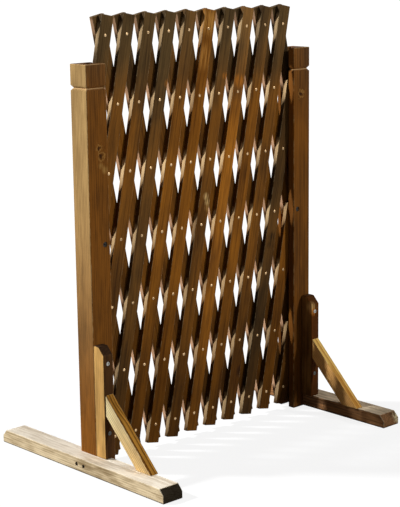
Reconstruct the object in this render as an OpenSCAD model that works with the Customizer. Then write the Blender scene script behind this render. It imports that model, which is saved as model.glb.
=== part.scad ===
// Free-standing expanding trellis: a riveted lattice of wooden slats between two posts on feet.
// X runs along the panel, Y towards its back and Z up. The origin is on the ground,
// under the middle of the panel and of the feet.

/* [Posts] */
// Side of the square post
post_side = 45; // [42:1:60]
// Height of the post
post_h = 740; // [700:5:900]
// From the post's top to the middle of the V-groove that runs round it
band_drop = 42; // [20:1:60]
// Height of the V-groove at the surface
band_h = 10; // [4:1:16]
// Depth of the V-groove
band_depth = 4; // [2:0.5:6]

/* [Feet] */
// Width of the foot, along the panel
foot_w = 45; // [38:1:60]
// Height of the foot
foot_h = 26; // [22:1:40]
// Length of the foot, front to back
foot_l = 470; // [400:5:600]
// From the post's middle to the front end of the foot
foot_front = 240; // [210:5:300]
// Depth to which the post is let into the side of the foot
housing = 16; // [10:1:20]
// Length of the slope at each end of the foot
toe_run = 11; // [4:1:20]
// Drop of the slope at each end of the foot
toe_drop = 12; // [4:1:16]

/* [Battens and braces] */
// Width of the batten on the post's front
batten_w = 22; // [18:1:30]
// Thickness of the batten, from the post's front
batten_d = 28; // [20:1:36]
// Height of the batten above the foot
batten_h = 210; // [190:5:260]
// Length of the slope on the batten's top
batten_run = 14; // [6:1:18]
// Drop of the slope on the batten's top
batten_drop = 15; // [6:1:20]
// Width of the brace, along the panel
brace_w = 18; // [14:1:24]
// Thickness of the brace, square to its length
brace_t = 28; // [22:1:34]
// Height above the foot at which the brace's upper edge meets the batten
brace_rise = 122; // [110:1:150]
// Angle of the brace from the ground
brace_angle = 45; // [42:1:50]

/* [Lattice] */
// Spacing of the rivet holes along a slat
link = 126; // [118:1:132]
// Spacing of the rivets along a row, with the panel set as shown
pitch = 50; // [40:1:70]
// Width of a slat
slat_w = 27.5; // [22:0.5:32]
// Thickness of a slat
slat_t = 9; // [6:0.5:10]
// Length of a slat past its last rivet at the panel's top and bottom
slat_tail = 36; // [20:1:50]
// Length of a slat past its last pivot inside a post
slat_heel = 10; // [8:0.5:14]
// Height of the lattice's lowest corners above the ground
ground_gap = 8.5; // [7:0.5:30]
// Distance of the pivot bolt from the post's inner face
bolt_inset = 11; // [9:0.5:13]
// Distance of the lattice's middle behind the post's middle
lattice_set = 3; // [0:0.5:5]

/* [Hardware] */
// Diameter of a rivet's shank
rivet_d = 3.2; // [2.5:0.1:4]
// Diameter of a rivet's head
rivet_head_d = 5.5; // [5:0.5:8]
// Height of a rivet's head
rivet_head_h = 1; // [0.6:0.1:1.6]
// Diameter of the pivot bolt
bolt_d = 6; // [5:0.5:8]
// Diameter of the pivot bolt's head
bolt_head_d = 10; // [9:0.5:14]
// Height of the pivot bolt's head
bolt_head_h = 4; // [3:0.5:5]
// Depth of the hole that the bolt's head is sunk in
bolt_sink = 6; // [4:0.5:8]
// Width of the nut across its flats
nut_flats = 10; // [9:0.5:13]
// Height of the nut
nut_h = 5; // [4:0.5:6]
// Diameter of a wood screw's shank
screw_d = 4; // [3:0.5:5]
// Diameter of a wood screw's head
screw_head_d = 7.5; // [6.5:0.5:9]
// Height of a wood screw's conical head
screw_head_h = 2.5; // [2:0.5:4]
// Depth to which the foot's screws are sunk
foot_screw_sink = 5; // [3:0.5:8]
// Spacing of the two screws in the foot's outer face
foot_screw_gap = 20; // [14:1:28]
// From the batten's top to its upper screw
batten_screw_top = 31; // [24:1:50]
// From the foot's top to the batten's lower screw
batten_screw_low = 48; // [20:1:60]
// Length of a screw's point inside a brace
brace_bite = 14; // [8:1:16]

/* [Fits] */
// Gap between the two layers of slats
layer_gap = 0.4; // [0.2:0.1:0.8]
// Gap round a rivet in the front slat that holds it
rivet_fit = 0.05; // [0.02:0.01:0.1]
// Gap round a rivet in the back slat that turns on it
rivet_play = 0.3; // [0.2:0.05:0.4]
// Gap between a rivet's rear head and the back slat
rivet_float = 0.2; // [0.1:0.05:0.4]
// Gap round the pivot bolt in the slats
bolt_play = 0.3; // [0.2:0.05:0.4]
// Gap round bolts and screws in the wood that they hold
fastener_fit = 0.1; // [0.05:0.05:0.2]
// Gap between the lattice and the walls of the groove in the post
groove_play = 0.8; // [0.5:0.1:1.5]
// Wood left between a screw's point and the next surface
screw_cover = 3; // [2:0.5:4]

/* [Hidden] */
$fn = 32;
// How far a cutting shape runs past the surface that it cuts
past = 1;

// Lattice: rows are counted from the top, columns from the left, and ends in the posts lie at half columns
rows = 7;
last_col = 9;
mid_row = (rows + 1) / 2;
mid_col = last_col / 2;
row_h = sqrt(link * link - pitch * pitch / 4);
lean = asin(pitch / 2 / link);
corner_drop = slat_tail * cos(lean) + slat_w / 2 * sin(lean);
bolt_z = ground_gap + corner_drop + (rows - mid_row) * row_h;
bolt_x = (mid_col + 0.5) * pitch;
function pivot_x(col) = (col - mid_col) * pitch;
function pivot_z(row) = bolt_z + (mid_row - row) * row_h;

// A front slat is named by the column of its top rivet, and a back slat by the column that its line has there
function front_first(i) = max(1, 2 * (i - last_col));
function front_last(i) = min(rows, 2 * (i + 1));
function front_col(i, row) = i - (row - 1) / 2;
function back_first(k) = max(1, -2 * k);
function back_last(k) = min(rows, 2 * (last_col + 1 - k));
function back_col(k, row) = k + (row - 1) / 2;
function in_post(col) = col < 0 || col > last_col;
function is_bolt(col, row) = in_post(col) && row == mid_row;

// Places of the post's faces, for the left-hand stand, with the post's middle at post_y
foot_back = foot_l - foot_front;
post_y = (foot_front - foot_back) / 2;
post_in = -(bolt_x - bolt_inset);
post_out = post_in - post_side;
post_front = post_y - post_side / 2;
post_back = post_y + post_side / 2;
foot_in = post_out + housing;
foot_out = foot_in - foot_w;
batten_front = post_front - batten_d;
batten_top = foot_h + batten_h;
brace_x = post_out + (batten_w - brace_w) / 2;

// Layers of the lattice, and the groove that takes its ends
lattice_y = post_y + lattice_set;
front_y = lattice_y - layer_gap / 2 - slat_t;
back_y = lattice_y + layer_gap / 2;
lattice_t = 2 * slat_t + layer_gap;
groove_w = lattice_t + 2 * (rivet_head_h + rivet_float + groove_play);
heel_radius = sqrt(slat_heel * slat_heel + slat_w * slat_w / 4);
groove_depth = bolt_inset + heel_radius + groove_play;
front_wall = lattice_y - groove_w / 2 - post_front;
web = post_side - groove_depth;

// Lengths of the screws, the cuts on the brace's two ends and the places of the screws' heads
foot_screw_l = foot_w - housing - foot_screw_sink + web - screw_cover;
batten_screw_l = batten_d + front_wall - screw_cover;
toe_screw_l = foot_h - foot_screw_sink + brace_bite;
top_screw_l = batten_d + brace_bite;
brace_cut = brace_t / cos(brace_angle);
brace_foot_cut = brace_t / sin(brace_angle);
brace_toe = batten_front - brace_rise / tan(brace_angle);
brace_screw_y = brace_toe + brace_foot_cut / 2;
brace_screw_x = (brace_x + min(foot_in, brace_x + brace_w)) / 2;
brace_screw_z = foot_h + brace_rise - brace_cut / 2;
foot_screw_back = post_y;
foot_screw_front = post_y - foot_screw_gap;

module on_right() {
  mirror([1, 0, 0]) children();
}

// A prism along X: the outline's first axis is Y and its second is Z
module along_x(x0, x1) {
  translate([x0, 0, 0])
    rotate([90, 0, 90])
      linear_extrude(height = x1 - x0) children();
}

// A wood screw whose head lies at the origin and whose point is down the Z axis
module screw(length) {
  point = screw_d;
  difference() {
    union() {
      cylinder(h = screw_head_h, r1 = screw_head_d / 2, r2 = screw_d / 2);
      cylinder(h = length - point, r = screw_d / 2);
      translate([0, 0, length - point]) cylinder(h = point, r1 = screw_d / 2, r2 = screw_d / 8);
    }
    translate([0, 0, -past]) cylinder(h = past + screw_head_h / 2, r = screw_d / 4, $fn = 6);
  }
}

// The hole that a screw fills, open for a distance above its head
module screw_hole(length, open) {
  translate([0, 0, -open]) cylinder(h = open, r = screw_head_d / 2 + fastener_fit);
  cylinder(h = screw_head_h, r1 = screw_head_d / 2 + fastener_fit, r2 = screw_d / 2 + fastener_fit);
  cylinder(h = length + fastener_fit, r = screw_d / 2 + fastener_fit);
}

// Places of the left-hand stand's screws
module at_foot_screws() {
  for (y = [foot_screw_front, foot_screw_back])
    translate([foot_out + foot_screw_sink, y, foot_h / 2]) rotate([0, 90, 0]) children();
}

module at_batten_screws() {
  for (z = [foot_h + batten_screw_low, batten_top - batten_screw_top])
    translate([post_out + batten_w / 2, batten_front, z]) rotate([-90, 0, 0]) children();
}

module at_brace_toe_screw() {
  translate([brace_screw_x, brace_screw_y, foot_screw_sink]) children();
}

module at_brace_top_screw() {
  translate([brace_x + brace_w / 2, post_front, brace_screw_z]) rotate([90, 0, 0]) children();
}

// Square post with a V-groove round its top and a full-length groove for the lattice's ends
module post() {
  color("#7b4d2a")
    difference() {
      translate([post_out, post_front, 0]) cube([post_side, post_side, post_h]);
      translate([post_in - groove_depth, lattice_y - groove_w / 2, -past])
        cube([groove_depth + past, groove_w, post_h + 2 * past]);
      translate([(post_in + post_out) / 2, post_y, post_h - band_drop])
        for (turn = [0:90:270])
          rotate([0, 0, turn])
            translate([0, -post_side / 2, 0])
              along_x(-post_side / 2 - past, post_side / 2 + past)
                polygon([
                  [-past, -band_h / 2], [0, -band_h / 2], [band_depth, 0], [0, band_h / 2], [-past, band_h / 2]
                ]);
      translate([-bolt_x, post_front - past, bolt_z])
        rotate([-90, 0, 0]) {
          cylinder(h = post_side + 2 * past, r = bolt_d / 2 + fastener_fit);
          cylinder(h = bolt_sink + past, r = bolt_head_d / 2 + fastener_fit);
        }
      at_foot_screws() screw_hole(foot_screw_l, past);
      at_batten_screws() screw_hole(batten_screw_l, past);
    }
}

// Foot with sloped ends and a housing in its inner side for the post
module foot() {
  color("#cdb891")
    difference() {
      along_x(foot_out, foot_in)
        polygon([
          [post_y - foot_front, 0], [post_y + foot_back, 0],
          [post_y + foot_back, foot_h - toe_drop], [post_y + foot_back - toe_run, foot_h],
          [post_y - foot_front + toe_run, foot_h], [post_y - foot_front, foot_h - toe_drop]
        ]);
      translate([post_out, post_front, -past]) cube([housing + past, post_side, foot_h + 2 * past]);
      at_foot_screws() screw_hole(foot_screw_l, foot_screw_sink + past);
      at_brace_toe_screw() screw_hole(toe_screw_l, foot_screw_sink + past);
    }
}

// Batten that stands on the foot against the post's front
module batten() {
  color("#b98850")
    difference() {
      along_x(post_out, post_out + batten_w)
        polygon([
          [batten_front, foot_h], [post_front, foot_h], [post_front, batten_top],
          [batten_front + batten_run, batten_top], [batten_front, batten_top - batten_drop]
        ]);
      at_batten_screws() screw_hole(batten_screw_l, past);
      at_brace_top_screw() screw_hole(top_screw_l, past);
    }
}

// Brace mitred between the batten's front and the top of the foot
module brace() {
  color("#cf9f52")
    difference() {
      along_x(brace_x, brace_x + brace_w)
        polygon([
          [batten_front, foot_h + brace_rise], [brace_toe, foot_h],
          [brace_toe + brace_foot_cut, foot_h], [batten_front, foot_h + brace_rise - brace_cut]
        ]);
      at_brace_toe_screw() screw_hole(toe_screw_l, past);
      at_brace_top_screw() screw_hole(top_screw_l, past);
    }
}

module foot_screws() {
  color("#4a4744") at_foot_screws() screw(foot_screw_l);
}

module batten_screws() {
  color("#b9b7b0") at_batten_screws() screw(batten_screw_l);
}

module brace_screws() {
  color("#b9b7b0") {
    at_brace_toe_screw() screw(toe_screw_l);
    at_brace_top_screw() screw(top_screw_l);
  }
}

// Bolt through the post and through the two slats that meet in its groove
module pivot_bolt() {
  color("#5a5652")
    translate([-bolt_x, post_front + bolt_sink, bolt_z])
      rotate([-90, 0, 0])
        difference() {
          union() {
            translate([0, 0, -bolt_head_h]) cylinder(h = bolt_head_h, r = bolt_head_d / 2);
            cylinder(h = post_side - bolt_sink + nut_h + past, r = bolt_d / 2);
          }
          translate([0, 0, -bolt_head_h - past])
            cylinder(h = past + bolt_head_h / 2, r = bolt_d / 4, $fn = 6);
        }
}

module pivot_nut() {
  color("#8d8a83")
    translate([-bolt_x, post_back, bolt_z])
      rotate([-90, 0, 0])
        difference() {
          cylinder(h = nut_h, r = nut_flats / 2 / cos(30), $fn = 6);
          translate([0, 0, -past]) cylinder(h = nut_h + 2 * past, r = bolt_d / 2 + fastener_fit);
        }
}

// A slat that hangs from its first pivot, with a hole for every row from first to last
module slat(first, last, turn, hole, bolt_row) {
  above = first == 1 ? slat_tail : slat_heel;
  below = last == rows ? slat_tail : slat_heel;
  rotate([0, turn, 0])
    difference() {
      translate([-slat_w / 2, 0, -(last - first) * link - below])
        cube([slat_w, slat_t, (last - first) * link + above + below]);
      for (row = [first:last])
        translate([0, -past, -(row - first) * link])
          rotate([-90, 0, 0])
            cylinder(h = slat_t + 2 * past, r = row == bolt_row ? bolt_d / 2 + bolt_play : hole);
    }
}

// The row in which a slat turns on a post's bolt, or 0 where it doesn't reach one
function front_bolt_row(i) = is_bolt(front_col(i, mid_row), mid_row) ? mid_row : 0;
function back_bolt_row(k) = is_bolt(back_col(k, mid_row), mid_row) ? mid_row : 0;

module front_slat(i) {
  first = front_first(i);
  color("#5f3d22")
    translate([pivot_x(front_col(i, first)), front_y, pivot_z(first)])
      slat(first, front_last(i), lean, rivet_d / 2 + rivet_fit, front_bolt_row(i));
}

module back_slat(k) {
  first = back_first(k);
  color("#4c2f1b")
    translate([pivot_x(back_col(k, first)), back_y, pivot_z(first)])
      slat(first, back_last(k), -lean, rivet_d / 2 + rivet_play, back_bolt_row(k));
}

// A rivet through both layers, with a low cone for each head
module rivet() {
  reach = lattice_t + rivet_float;
  rotate([-90, 0, 0]) {
    cylinder(h = reach, r = rivet_d / 2);
    translate([0, 0, -rivet_head_h])
      cylinder(h = rivet_head_h, r1 = rivet_head_d / 4, r2 = rivet_head_d / 2);
    translate([0, 0, reach])
      cylinder(h = rivet_head_h, r1 = rivet_head_d / 2, r2 = rivet_head_d / 4);
  }
}

// All the rivets that one front slat carries
module rivets(i) {
  color("#c2a468")
    for (row = [front_first(i):front_last(i)])
      if (row != front_bolt_row(i))
        translate([pivot_x(front_col(i, row)), front_y, pivot_z(row)]) rivet();
}

post();  // post_left
foot();  // foot_left
batten();  // batten_left
brace();  // brace_left
foot_screws();  // foot_screws_left
batten_screws();  // batten_screws_left
brace_screws();  // brace_screws_left
pivot_bolt();  // pivot_bolt_left
pivot_nut();  // pivot_nut_left
on_right() post();  // post_right
on_right() foot();  // foot_right
on_right() batten();  // batten_right
on_right() brace();  // brace_right
on_right() foot_screws();  // foot_screws_right
on_right() batten_screws();  // batten_screws_right
on_right() brace_screws();  // brace_screws_right
on_right() pivot_bolt();  // pivot_bolt_right
on_right() pivot_nut();  // pivot_nut_right
front_slat(0);  // front_slat_01
front_slat(1);  // front_slat_02
front_slat(2);  // front_slat_03
front_slat(3);  // front_slat_04
front_slat(4);  // front_slat_05
front_slat(5);  // front_slat_06
front_slat(6);  // front_slat_07
front_slat(7);  // front_slat_08
front_slat(8);  // front_slat_09
front_slat(9);  // front_slat_10
front_slat(10);  // front_slat_11
front_slat(11);  // front_slat_12
front_slat(12);  // front_slat_13
back_slat(-3);  // back_slat_01
back_slat(-2);  // back_slat_02
back_slat(-1);  // back_slat_03
back_slat(0);  // back_slat_04
back_slat(1);  // back_slat_05
back_slat(2);  // back_slat_06
back_slat(3);  // back_slat_07
back_slat(4);  // back_slat_08
back_slat(5);  // back_slat_09
back_slat(6);  // back_slat_10
back_slat(7);  // back_slat_11
back_slat(8);  // back_slat_12
back_slat(9);  // back_slat_13
rivets(0);  // rivets_01
rivets(1);  // rivets_02
rivets(2);  // rivets_03
rivets(3);  // rivets_04
rivets(4);  // rivets_05
rivets(5);  // rivets_06
rivets(6);  // rivets_07
rivets(7);  // rivets_08
rivets(8);  // rivets_09
rivets(9);  // rivets_10
rivets(10);  // rivets_11
rivets(11);  // rivets_12
rivets(12);  // rivets_13
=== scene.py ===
# %% [markdown]
# # A free-standing expanding trellis
# The real object is a scissor lattice of stained softwood slats, riveted at every crossing, between two
# posts on beam feet. The frame already holds every piece at its place and with its joints. This lesson
# gives each piece its worked shape, such as eased edges, domed rivets and sawn ends, and its grain and
# stain. A piece could be painted over the frame's own solids, but those have dead sharp edges and no
# grain direction, so most of them are modelled again here, each in the place of the node that it stands
# for.

# %% Load the frame
import math
from contextlib import contextmanager
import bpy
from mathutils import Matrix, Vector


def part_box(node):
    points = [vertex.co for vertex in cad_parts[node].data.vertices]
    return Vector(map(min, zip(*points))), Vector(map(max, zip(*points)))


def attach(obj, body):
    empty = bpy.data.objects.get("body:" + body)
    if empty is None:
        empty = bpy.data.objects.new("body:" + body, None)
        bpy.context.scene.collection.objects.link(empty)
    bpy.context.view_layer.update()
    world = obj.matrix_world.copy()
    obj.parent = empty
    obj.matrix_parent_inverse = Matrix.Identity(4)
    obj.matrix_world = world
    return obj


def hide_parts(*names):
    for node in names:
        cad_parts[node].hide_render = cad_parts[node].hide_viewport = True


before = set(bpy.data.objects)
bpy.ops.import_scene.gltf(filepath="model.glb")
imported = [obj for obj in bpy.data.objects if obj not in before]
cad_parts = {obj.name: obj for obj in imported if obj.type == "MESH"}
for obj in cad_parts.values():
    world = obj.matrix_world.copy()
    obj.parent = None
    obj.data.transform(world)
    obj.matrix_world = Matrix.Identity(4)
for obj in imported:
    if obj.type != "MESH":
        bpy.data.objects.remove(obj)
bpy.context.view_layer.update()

from types import SimpleNamespace

import bmesh
import bpy
import numpy as np
from mathutils import Matrix, Vector

MM = 0.001
SCENE = bpy.context.scene

# %% [markdown]
# ## The camera
# The picture looks at the near post's corner, from a little above the panel's top. The camera could be
# aimed by a constraint, but a heading, a downward tilt and a small roll are the three numbers that a
# surveyor would give, and they build the camera's turn one axis at a time. The lens is long, so the
# uprights hardly lean.

# %% Camera
CAMERA_PLACE = Vector((-1.906, -2.062, 0.945))
HEADING = math.radians(42.70)
LOOK_DOWN = math.radians(11.76)
ROLL = math.radians(-0.73)
LENS_MM = 105.97
SENSOR_MM = 36.0

bpy.ops.object.select_all(action="DESELECT")
bpy.ops.object.camera_add()
camera = bpy.context.object
camera.data.lens = LENS_MM
camera.data.sensor_width = SENSOR_MM
camera.matrix_world = (
    Matrix.Translation(CAMERA_PLACE)
    @ Matrix.Rotation(-HEADING, 4, "Z")
    @ Matrix.Rotation(math.pi / 2 - LOOK_DOWN, 4, "X")
    @ Matrix.Rotation(ROLL, 4, "Z")
)
SCENE.camera = camera
SCENE.view_settings.view_transform = "Standard"
print("camera", [round(x, 3) for x in camera.location], "lens", camera.data.lens)

# %% [markdown]
# ## Sums on sockets
# A finish is a network of nodes. It could be wired line by line, but then the thought behind it is lost
# among the links. A small class holds one socket instead, so that a sum on two of them adds the Math node
# that works it out, and one method adds any other node.

# %% A wire through a material
class Wire:
    """A value on its way through a finish."""

    def __init__(self, tree, socket=None):
        self.tree = tree
        self.socket = socket

    def node(self, kind, settings=None, inputs=None, output=0):
        """Adds a node, sets it up, feeds its sockets and gives back one of its outputs."""
        made = self.tree.nodes.new(kind)
        for key, value in (settings or {}).items():
            setattr(made, key, value)
        for key, value in (inputs or {}).items():
            if isinstance(value, Wire):
                self.tree.links.new(value.socket, made.inputs[key])
            else:
                made.inputs[key].default_value = value
        return Wire(self.tree, made.outputs[output] if made.outputs else None)

    def beside(self, output):
        """Another output of the node that this wire leaves."""
        return Wire(self.tree, self.socket.node.outputs[output])

    def _sum(self, operation, first, second):
        return self.node("ShaderNodeMath", {"operation": operation}, {0: first, 1: second})

    def __add__(self, other):
        return self._sum("ADD", self, other)

    def __radd__(self, other):
        return self._sum("ADD", other, self)

    def __sub__(self, other):
        return self._sum("SUBTRACT", self, other)

    def __rsub__(self, other):
        return self._sum("SUBTRACT", other, self)

    def __mul__(self, other):
        return self._sum("MULTIPLY", self, other)

    def __rmul__(self, other):
        return self._sum("MULTIPLY", other, self)

    def __truediv__(self, other):
        return self._sum("DIVIDE", self, other)

    def __pow__(self, other):
        return self._sum("POWER", self, other)

    def __mod__(self, other):
        return self._sum("FLOORED_MODULO", self, other)

    def __abs__(self):
        return self.node("ShaderNodeMath", {"operation": "ABSOLUTE"}, {0: self})

    def vector(self, operation, other, output=0):
        """Vector Math of this vector with another one."""
        return self.node("ShaderNodeVectorMath", {"operation": operation}, {0: self, 1: other}, output)

    def step(self, low, high):
        """0 below low and 1 above high, with a smooth rise between; low may be the larger one."""
        limits = {"Value": self, "From Min": low, "From Max": high}
        return self.node("ShaderNodeMapRange", {"interpolation_type": "SMOOTHSTEP"}, limits)

    def noise(self, scale, detail=2.0):
        """Smooth noise on this vector, from about 0 to about 1."""
        return self.node("ShaderNodeTexNoise", {}, {"Vector": self, "Scale": scale, "Detail": detail})

    def mix(self, first, second):
        """Two colours, mixed by this wire's value."""
        return self.node("ShaderNodeMix", {"data_type": "RGBA"}, {0: self, 6: first, 7: second}, 2)

    def dimmed(self, level):
        """This colour at a share of its strength."""
        grey = self.node("ShaderNodeCombineColor", {}, {0: level, 1: level, 2: level})
        how = {"data_type": "RGBA", "blend_type": "MULTIPLY"}
        return self.node("ShaderNodeMix", how, {0: 1.0, 6: self, 7: grey}, 2)


def new_finish(name):
    """An empty material, and a wire to start its network from."""
    made = bpy.data.materials.new(name)
    made.use_nodes = True
    made.node_tree.nodes.clear()
    return made, Wire(made.node_tree)


def stain(code):
    """A colour written as on a paint chart, #rrggbb, turned into the light that it gives back."""
    parts = [int(code[i:i + 2], 16) / 255 for i in (1, 3, 5)]
    return tuple(c / 12.92 if c <= 0.04045 else ((c + 0.055) / 1.055) ** 2.4 for c in parts) + (1.0,)


print("a mid brown gives back", [round(c, 3) for c in stain("#805030")])

# %% [markdown]
# ## Studio
# The trellis stands on a white floor in soft light. The key comes from the left and from behind, so the
# posts' outer faces, the feet's tops and the sides beside the openings are bright. A weaker one lights
# the front, from the right, so that the front slats throw their shade on the back ones. Lamps of finite
# size could do that, but a soft sun lights the near and the far stand alike. The floor shows white to the
# eye by its own glow and still takes the shadow, because part of it is an ordinary matt surface. As a
# source it is darker, so the shade stays deep.

# %% Light and floor
# Each sun: the way to it, its strength and its softness in degrees.
SUNS = {
    "key": ((-0.54, 0.62, 0.57), 4.4, 6),
    "front": ((0.45, -0.80, 0.54), 1.37, 6),
}
SKY_LEVEL = 0.07
FLOOR_SIDE = 60.0
FLOOR_MATT = 0.22
FLOOR_GLOW = 1.10
FLOOR_TONE = (0.80, 0.80, 0.80, 1.0)
FLOOR_BOUNCE = (0.20, 0.20, 0.20, 1.0)
WHITE = (1.0, 1.0, 1.0, 1.0)

for name, (source, strength, softness) in SUNS.items():
    turn = Vector(source).to_track_quat("Z", "Y").to_euler()
    bpy.ops.object.light_add(type="SUN", rotation=turn)
    sun = bpy.context.object
    sun.name = name
    sun.data.energy = strength
    sun.data.angle = math.radians(softness)


def seen_directly(wire):
    """1 where the eye, a mirror or a glass looks at the surface, and 0 where it only lights others."""
    path = wire.node("ShaderNodeLightPath", output="Is Camera Ray")
    total = path + path.beside("Is Glossy Ray") + path.beside("Is Transmission Ray")
    return total.node("ShaderNodeMath", {"operation": "MINIMUM"}, {0: total, 1: 1.0})


world = bpy.data.worlds.new("studio_sky")
SCENE.world = world
world.use_nodes = True
world.node_tree.nodes.clear()
sky = Wire(world.node_tree)
shown_sky = sky.node("ShaderNodeBackground", {}, {"Color": WHITE, "Strength": 1.0})
soft_sky = sky.node("ShaderNodeBackground", {}, {"Color": WHITE, "Strength": SKY_LEVEL})
sky_light = sky.node("ShaderNodeMixShader", {}, {0: seen_directly(sky), 1: soft_sky, 2: shown_sky})
sky.node("ShaderNodeOutputWorld", {}, {"Surface": sky_light})

floor_finish, wire = new_finish("studio_floor")
seen = seen_directly(wire)
matt = wire.node("ShaderNodeBsdfDiffuse", {}, {"Color": seen.mix(FLOOR_BOUNCE, FLOOR_TONE)})
glow = wire.node("ShaderNodeEmission", {}, {"Color": WHITE, "Strength": FLOOR_GLOW})
glow_share = seen * (1 - FLOOR_MATT)
floor_light = wire.node("ShaderNodeMixShader", {}, {0: glow_share, 1: matt, 2: glow})
wire.node("ShaderNodeOutputMaterial", {}, {"Surface": floor_light})

bpy.ops.mesh.primitive_plane_add(size=FLOOR_SIDE)
floor = bpy.context.object
floor.name = "studio_floor"
floor.data.materials.append(floor_finish)
print(len(SUNS), "suns, sky", SKY_LEVEL, "floor", FLOOR_SIDE, "m")

# %% [markdown]
# ## The joiner's bench
# Every wooden piece starts as a sawn blank: a box of its size, sawn to its angles with the bisect tool,
# eased along its edges with a bevel, and drilled or grooved with a Boolean. The helpers below are those
# bench operations. Two attributes are noted on the way: edge marks the middle line of an eased edge,
# where stain rubs off first, and grain holds each point's place in the board, across, through and along
# it, so that the figure follows the board wherever it is turned. A third, board, gives a piece its own
# bit of the log, its depth of stain and its warmth.

# %% Bench operations
RUBBED_ANGLE = math.radians(35)
SMOOTH_ANGLE = math.radians(50)
NEAR = 0.01 * MM


def alone(piece):
    """Selects one piece and nothing else."""
    bpy.ops.object.select_all(action="DESELECT")
    piece.select_set(True)
    bpy.context.view_layer.objects.active = piece


@contextmanager
def editing(piece, kind="EDGE"):
    """Edit mode on one piece, with all of it selected."""
    alone(piece)
    bpy.ops.object.mode_set(mode="EDIT")
    bpy.ops.mesh.select_mode(type=kind)
    bpy.ops.mesh.select_all(action="SELECT")
    yield
    bpy.ops.object.mode_set(mode="OBJECT")


def select_points(piece, test):
    """In edit mode, selects the points whose place passes the test."""
    mesh = bmesh.from_edit_mesh(piece.data)
    for point in mesh.verts:
        point.select_set(bool(test(point.co)))
    mesh.select_flush(True)
    bmesh.update_edit_mesh(piece.data)


def select_faces(piece, test):
    """In edit mode, selects the faces whose middle passes the test."""
    mesh = bmesh.from_edit_mesh(piece.data)
    for face in mesh.faces:
        face.select_set(bool(test(face.calc_center_median())))
    bmesh.update_edit_mesh(piece.data)


def settle(piece):
    """Puts a piece's place, turn and size into its mesh."""
    alone(piece)
    bpy.ops.object.transform_apply(location=True, rotation=True, scale=True)


def blank(name, low, high):
    """A sawn box between two corners."""
    low, high = Vector(low), Vector(high)
    bpy.ops.object.select_all(action="DESELECT")
    bpy.ops.mesh.primitive_cube_add(size=1, location=(low + high) / 2)
    piece = bpy.context.object
    piece.name = piece.data.name = name
    piece.scale = high - low
    settle(piece)
    return piece


def rod(radius, start, end, sides=24, tip_radius=None):
    """A round bar, or a cone, between two points, for drilling or turning."""
    start, end = Vector(start), Vector(end)
    bpy.ops.object.select_all(action="DESELECT")
    bpy.ops.mesh.primitive_cone_add(
        vertices=sides,
        radius1=radius,
        radius2=radius if tip_radius is None else tip_radius,
        depth=(end - start).length,
        location=(start + end) / 2,
        rotation=(end - start).to_track_quat("Z", "Y").to_euler(),
    )
    piece = bpy.context.object
    settle(piece)
    return piece


def saw(piece, point, normal):
    """Cuts off what lies on the normal's side of a plane, and closes the cut."""
    with editing(piece):
        bpy.ops.mesh.bisect(plane_co=point, plane_no=normal, use_fill=True, clear_outer=True)


def ease(piece, width, steps=2):
    """Rounds every edge, and marks where the stain rubs off."""
    with editing(piece):
        bpy.ops.mesh.bevel(offset=width, segments=steps, profile=0.5, affect="EDGES")
    mesh = bmesh.new()
    mesh.from_mesh(piece.data)
    rubbed = [max(e.calc_face_angle(0.0) for e in point.link_edges) > RUBBED_ANGLE for point in mesh.verts]
    mesh.free()
    marks = piece.data.attributes.new("edge", "FLOAT", "POINT")
    marks.data.foreach_set("value", np.array(rubbed, np.float32))


def joined(tools):
    """Several pieces as one object."""
    alone(tools[0])
    for tool in tools:
        tool.select_set(True)
    if len(tools) > 1:
        bpy.ops.object.join()
    return tools[0]


def cut(piece, *tools):
    """Takes the tools' shapes out of a piece."""
    for tool in tools:
        alone(piece)
        change = piece.modifiers.new("cut", "BOOLEAN")
        change.operation = "DIFFERENCE"
        change.solver = "EXACT"
        change.object = tool
        bpy.ops.object.modifier_apply(modifier=change.name)
        bpy.data.meshes.remove(tool.data)


def polish(piece):
    """Smooth shading over the eased edges, with the flat faces kept flat."""
    alone(piece)
    bpy.ops.object.shade_smooth_by_angle(angle=SMOOTH_ANGLE)
    change = piece.modifiers.new("flats", "WEIGHTED_NORMAL")
    change.keep_sharp = True
    bpy.ops.object.modifier_apply(modifier=change.name)


def mark_grain(piece, log, depth, warmth, middle, along, through):
    """Notes each point's place across, through and along the board, and the board's own log and stain."""
    places = np.zeros(len(piece.data.vertices) * 3)
    piece.data.vertices.foreach_get("co", places)
    directions = np.array([np.cross(through, along), through, along])
    places = (places.reshape(-1, 3) - np.array(middle)) @ directions.T
    kept = piece.data.attributes.new("grain", "FLOAT_VECTOR", "POINT")
    kept.data.foreach_set("vector", places.astype(np.float32).ravel())
    same = np.tile(np.array([log, depth, warmth], np.float32), len(places))
    kept = piece.data.attributes.new("board", "FLOAT_VECTOR", "POINT")
    kept.data.foreach_set("vector", same)


def stands_for(piece, node, body, finish):
    """Gives a finished piece its material and its body, and hides the frame's node that it stands for."""
    piece.data.materials.clear()
    piece.data.materials.append(finish)
    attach(piece, body)
    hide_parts(node)


print("bench ready")

# %% [markdown]
# ## What a point of a board knows
# A finish is one network for many boards, so it has to ask where it is. Each board could have a picture
# of its own, but then nothing would agree where two faces meet. Instead every point tells the finish its
# place in the board and so in the log, its place on the trellis at rest, the way that it faces, and its
# own board's log, depth of stain and warmth.

# %% Facts of a board
UP = (0.0, 0.0, 1.0)
LOG_SHIFT = (5.3, 9.1, 3.7)


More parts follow.
